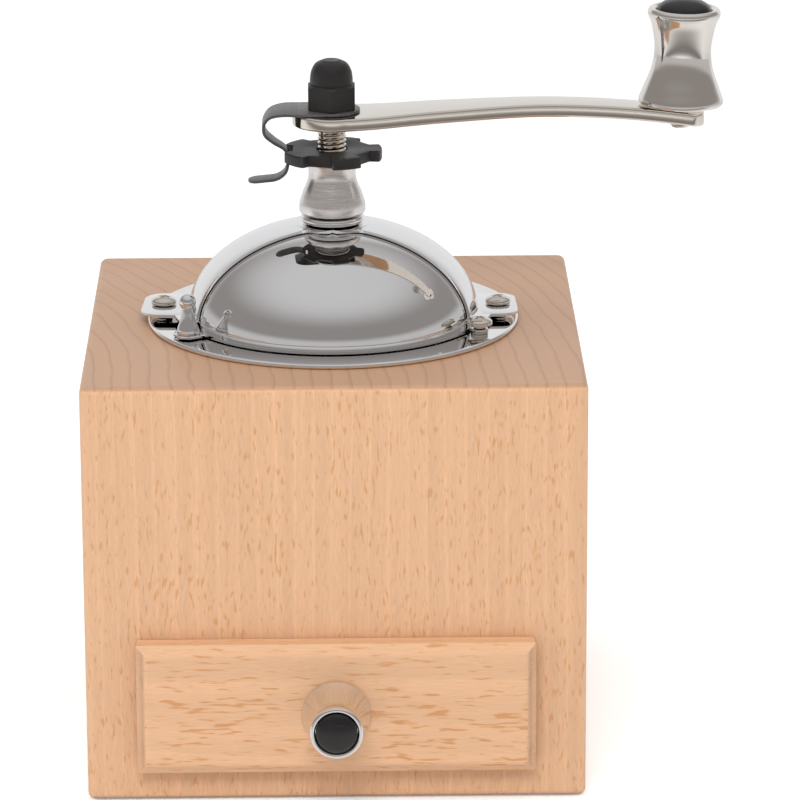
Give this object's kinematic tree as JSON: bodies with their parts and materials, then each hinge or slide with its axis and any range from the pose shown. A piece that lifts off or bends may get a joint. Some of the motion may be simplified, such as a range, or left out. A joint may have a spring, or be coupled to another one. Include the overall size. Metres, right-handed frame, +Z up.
{
  "type": "hand crank coffee grinder",
  "caption": "Square wooden box coffee mill with a drawer, a domed chrome hopper with a turning door, and a crank with an adjusting wheel on top.",
  "frame": {"origin": "centre of the underside, under the spindle", "axes": "+Z up along the spindle, the drawer opens towards -Y, the crank arm lies along +X at rest"},
  "size_m": [0.175, 0.1599, 0.2066],
  "materials": {
    "beech": "satin varnish",
    "plain_wood": "bare, sanded",
    "felt": "pressed felt",
    "chrome": "bright plate",
    "nickel": "nickel plate",
    "satin_steel": "satin",
    "burr_iron": "hardened, machined",
    "black_enamel": "semi-matt black",
    "black_plastic": "polished",
    "brass": "turned"
  },
  "bodies": {
    "mill": {"case_block": "beech", "base_pad": "felt", "base_ring": "chrome", "dome_shell": "chrome", "dome_screw_left": "nickel", "dome_screw_right": "nickel", "dome_screw_rear": "nickel", "dome_spacer_left": "nickel", "dome_spacer_right": "nickel", "dome_spacer_rear": "nickel", "stop_screw": "nickel", "stop_spacer": "nickel", "spindle_bush": "chrome", "bush_nut": "nickel", "hopper_funnel": "satin_steel", "outer_burr": "burr_iron", "bridge_screw_left": "nickel", "bridge_screw_right": "nickel", "burr_bridge": "satin_steel", "lower_bush": "brass"},
    "door": {"hopper_door": "chrome", "door_knob": "chrome"},
    "collar": {"drive_collar": "satin_steel"},
    "adjuster": {"star_wheel": "black_enamel"},
    "spindle": {"spindle": "nickel", "cap_nut": "black_enamel", "crank_arm": "nickel", "knob_pin": "nickel", "latch_eye": "black_enamel", "inner_burr": "burr_iron", "burr_pin": "nickel", "lift_spring": "nickel", "spring_seat": "nickel", "seat_pin": "nickel"},
    "latch": {"latch_leaf": "black_enamel"},
    "crank_knob": {"crank_knob_shell": "chrome", "crank_knob_insert": "black_plastic"},
    "drawer": {"drawer_front": "beech", "drawer_side_left": "plain_wood", "drawer_side_right": "plain_wood", "drawer_back": "plain_wood", "drawer_floor": "plain_wood", "drawer_knob_shell": "chrome", "drawer_knob_insert": "black_plastic", "drawer_knob_screw": "nickel"}
  },
  "joints": [
    {"name": "crank_spin", "type": "hinge", "parent": "mill", "child": "collar", "pos_m": [0, 0, 0.15], "axis": [0, 0, 1], "continuous": true},
    {"name": "adjuster_turn", "type": "hinge", "parent": "collar", "child": "adjuster", "pos_m": [0, 0, 0.1637], "axis": [0, 0, 1], "range_deg": [-360, 360], "deforming": ["latch_leaf"]},
    {"name": "spindle_lift", "type": "slide", "parent": "collar", "child": "spindle", "axis": [0, 0, 1], "range_m": [-0.00124, 0.00124], "deforming": ["lift_spring"]},
    {"name": "latch_flex", "type": "hinge", "parent": "spindle", "child": "latch", "pos_m": [-0.0187, 0, 0.1716], "axis": [0, 1, 0], "range_deg": [0, 16], "stiffness_Nm_per_rad": 0.05},
    {"name": "knob_spin", "type": "hinge", "parent": "spindle", "child": "crank_knob", "pos_m": [0.0958, 0, 0.1772], "axis": [0.0262, 0, 0.9997], "continuous": true},
    {"name": "door_turn", "type": "hinge", "parent": "mill", "child": "door", "pos_m": [0, 0, 0.13], "axis": [0, 0, 1], "range_deg": [0, 112]},
    {"name": "drawer_slide", "type": "slide", "parent": "mill", "child": "drawer", "axis": [0, -1, 0], "range_m": [0, 0.085]}
  ],
  "couplings": [
    {"joint": "adjuster_turn", "follows": "spindle_lift", "rad_per_m": -5026.5}
  ]
}
